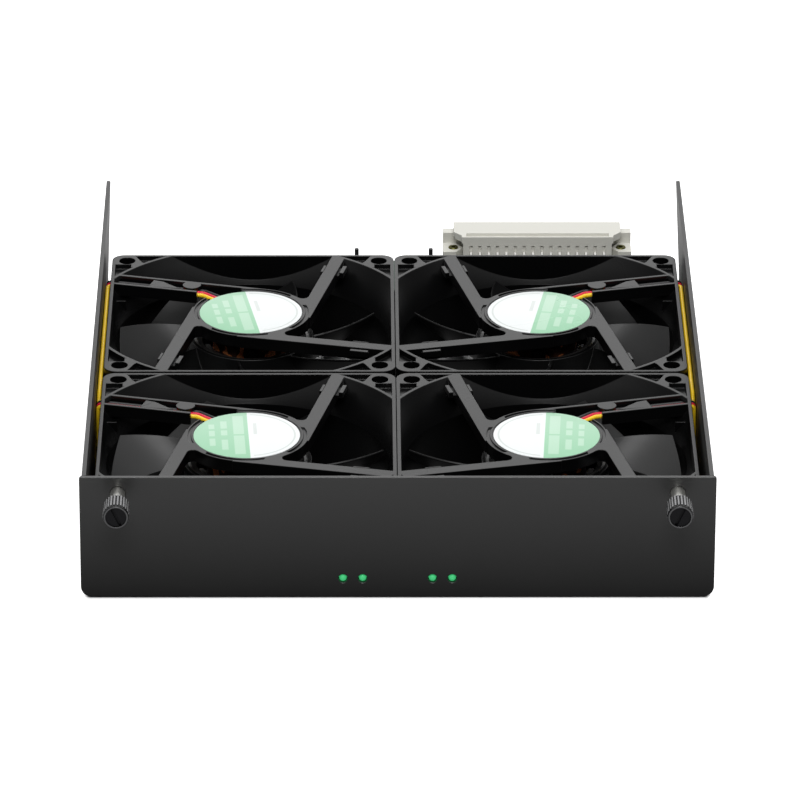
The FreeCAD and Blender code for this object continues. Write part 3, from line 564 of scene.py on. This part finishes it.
def wires(name, routes, bends, radius, material):
    """Round wires along these routes in millimetres, eased round each corner."""
    curve = bpy.data.curves.new(name, "CURVE")
    curve.dimensions = "3D"
    curve.bevel_depth = radius * mm
    curve.bevel_resolution = 4
    curve.resolution_u = 10
    curve.use_fill_caps = True
    for route, turns in zip(routes, bends):
        corners = [Vector(point) * mm for point in route]
        line = [corners[0]]
        for i in range(1, len(corners) - 1):
            before = corners[i - 1] - corners[i]
            after = corners[i + 1] - corners[i]
            half = before.angle(after) / 2
            back = 2 * turns[i - 1] * mm / math.tan(half)
            line.append(corners[i] + before.normalized() * min(back, before.length * 0.48))
            line.append(corners[i])
            line.append(corners[i] + after.normalized() * min(back, after.length * 0.48))
        line.append(corners[-1])
        spline = curve.splines.new("NURBS")
        spline.points.add(len(line) - 1)
        for knot, place in zip(spline.points, line):
            knot.co = (*place, 1)
        spline.order_u = 3
        spline.use_endpoint_u = True
    piece = bpy.data.objects.new(name, curve)
    bpy.context.scene.collection.objects.link(piece)
    take_up(piece)
    bpy.ops.object.convert(target="MESH")
    piece = bpy.context.object
    bpy.ops.object.shade_smooth()
    piece.data.materials.append(material)
    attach(piece, "tray")
    return piece


def on_both_sides(route):
    """The route beside a left fan and its mirror image beside the right one."""
    return [route, [(-x, y, z) for x, y, z in route]]


gap_x = -80.875
trough_y = 76.0
plug_x = -34.0
lead_high = 24.5
wire_radius = 0.6
lamp_wire_radius = 0.5
short_turns = (2.2, 1.0, 4.0, 3.0)
looped_turns = (2.2, 1.0, 4.0, 4.0, 3.0)

front_yellow = [
    (-47.46, -38.77, lead_high), (-53.86, -32.37, lead_high), (gap_x, -25.64, lead_high),
    (gap_x, -25.64, 3.0), (gap_x, trough_y, 3.0), (plug_x, trough_y, 3.0),
]
rear_yellow = [
    (-47.46, 42.23, lead_high), (-53.86, 48.63, lead_high), (gap_x, 55.36, lead_high),
    (gap_x, -19.45, lead_high), (gap_x, -19.45, 7.5), (gap_x, trough_y, 7.5), (plug_x, trough_y, 7.5),
]
routes = on_both_sides(front_yellow) + on_both_sides(rear_yellow)
turns = [short_turns] * 2 + [looped_turns] * 2
piece = wires("yellow_wires", routes, turns, wire_radius, yellow_pvc)
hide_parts("fan_leads_yellow")

front_red = [
    (-47.12, -37.41, lead_high), (-53.52, -31.01, lead_high), (gap_x, -24.19, lead_high),
    (gap_x, -24.19, 4.5), (gap_x, trough_y, 4.5), (plug_x, trough_y, 4.5),
]
rear_red = [
    (-47.12, 43.59, lead_high), (-53.52, 49.99, lead_high), (gap_x, 56.81, lead_high),
    (gap_x, 56.81, 9.0), (gap_x, trough_y, 9.0), (plug_x, trough_y, 9.0),
]
routes = on_both_sides(front_red) + on_both_sides(rear_red)
piece = wires("red_wires", routes, [short_turns] * 4, wire_radius, red_pvc)
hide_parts("fan_leads_red")

front_black = [
    (-46.78, -36.06, lead_high), (-53.18, -29.66, lead_high), (gap_x, -22.75, lead_high),
    (gap_x, -22.75, 6.0), (gap_x, trough_y, 6.0), (plug_x, trough_y, 6.0),
]
rear_black = [
    (-46.78, 44.94, lead_high), (-53.18, 51.34, lead_high), (gap_x, 58.25, lead_high),
    (gap_x, 58.25, 10.5), (gap_x, trough_y, 10.5), (plug_x, trough_y, 10.5),
]
routes = on_both_sides(front_black) + on_both_sides(rear_black)
piece = wires("black_wires", routes, [short_turns] * 4, wire_radius, black_pvc)
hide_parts("fan_leads_black")

lamp_y = -89.05
lamp_route = [(20.0, lamp_y, 1.8), (-gap_x, lamp_y, 1.8), (-gap_x, trough_y, 1.8), (-plug_x, trough_y, 1.8)]
piece = wires("lamp_wire", [lamp_route], [(3.0, 3.0)], lamp_wire_radius, black_pvc)
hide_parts("lamp_lead")


# ------------------------------------------------------ the rear connector
# A glass-filled moulding the colour of pale stone, riveted to a green board.
# Its tinned contacts bend down into the board.

stone_plastic = finish("stone_plastic", (0.59, 0.584, 0.532), (0.64, 0.632, 0.58), (0.42, 0.52))
solder_mask = finish("solder_mask", (0.004, 0.040, 0.016), (0.005, 0.050, 0.020), (0.3, 0.4))
nylon = finish("nylon", (0.74, 0.72, 0.64), (0.78, 0.76, 0.69), (0.38, 0.48))
black_nylon = finish("black_nylon", (0.012, 0.012, 0.013), (0.018, 0.018, 0.019), (0.4, 0.5))
tin = finish("tin_plate", (0.92, 0.91, 0.89), (0.84, 0.83, 0.81), (0.25, 0.36), metallic=0.2)
brass = finish(
    "tarnished_brass", (0.20, 0.19, 0.06), (0.12, 0.12, 0.04), (0.3, 0.45), cloud=900, metallic=1.0)
coat(stone_plastic, "connector_housing")
coat(solder_mask, "connector_board", "lamp_board")
coat(nylon, "board_headers", "lead_plugs")
coat(black_nylon, "board_posts", "lamp_spacers")
coat(tin, "connector_contacts")
coat(brass, "connector_rivets", "board_standoffs")
ease("connector_housing", "tray", stone_plastic, width=0.06)


# ------------------------------------------------- lamps and thumbscrews
# Green lamps, polished sleeves and black anodised knobs. The knobs' rib crests
# and the rim round the face are turned to bright bare metal as a painted highlight.

lamp_green = finish("lamp_green", (0.05, 0.42, 0.16), (0.06, 0.48, 0.19), (0.15, 0.22))
lamp_shader = lamp_green.node_tree.nodes["Principled BSDF"]
lamp_shader.inputs["Emission Color"].default_value = (0.05, 0.55, 0.18, 1)
lamp_shader.inputs["Emission Strength"].default_value = 0.5
nickel = finish("polished_nickel", (0.80, 0.80, 0.76), (0.74, 0.74, 0.70), (0.32, 0.42), metallic=1.0)
black_anodise = finish("black_anodise", (0.004, 0.004, 0.005), (0.006, 0.006, 0.007), (0.24, 0.32), ior=1.22)
knob_black = finish("knob_anodise", (0.003, 0.003, 0.0035), (0.004, 0.004, 0.0045), (0.22, 0.30), ior=1.22)
tree = knob_black.node_tree
nodes = tree.nodes
links = tree.links
knob_x = 73.4
knob_z = 30.3
rib_foot = 3.34
rib_crest = 3.46
knob_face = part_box("thumbscrew_knob_left")[0][1]
# Painted highlight: bright bare metal on the rib crests by radius, and partly round the face.
either_side = reckon(tree, "ABSOLUTE", own_place(knob_black))
from_axis = reckon(tree, "SUBTRACT", either_side, (knob_x * mm, 0, knob_z * mm))
round_axis = reckon(tree, "MULTIPLY", from_axis, (1, 0, 1))
radius = reckon(tree, "LENGTH", round_axis)
rib_crest_highlight = ramp(tree, radius, rib_foot * mm, rib_crest * mm)
along_axis = axis_of(tree, own_place(knob_black), "Y")
face_rim_highlight = ramp(tree, along_axis, knob_face + 0.10 * mm, knob_face + 0.04 * mm, 0.0, 0.45)
painted_highlight = nodes.new("ShaderNodeMath")
painted_highlight.operation = "MAXIMUM"
links.new(rib_crest_highlight, painted_highlight.inputs[0])
links.new(face_rim_highlight, painted_highlight.inputs[1])
highlight_metal = nodes.new("ShaderNodeMix")
highlight_metal.data_type = "RGBA"
highlight_metal.inputs["B"].default_value = (0.20, 0.20, 0.205, 1)
links.new(painted_highlight.outputs[0], highlight_metal.inputs["Factor"])
links.new(nodes["surface"].outputs["Colour"], highlight_metal.inputs["A"])
links.new(highlight_metal.outputs["Result"], nodes["Principled BSDF"].inputs["Base Color"])
links.new(painted_highlight.outputs[0], nodes["Principled BSDF"].inputs["Metallic"])
coat(lamp_green, "status_lamps")
coat(nickel, "thumbscrew_sleeves")
coat(plated_steel, "thumbscrew_springs")
for side in sides:
    coat(knob_black, "thumbscrew_knob_" + side)
    coat(black_anodise, "thumbscrew_screw_" + side)
    coat(plated_steel, "thumbscrew_clip_" + side, "thumbscrew_washer_" + side)
    ease("thumbscrew_knob_" + side, "thumbscrew_" + side, knob_black, width=0.07)
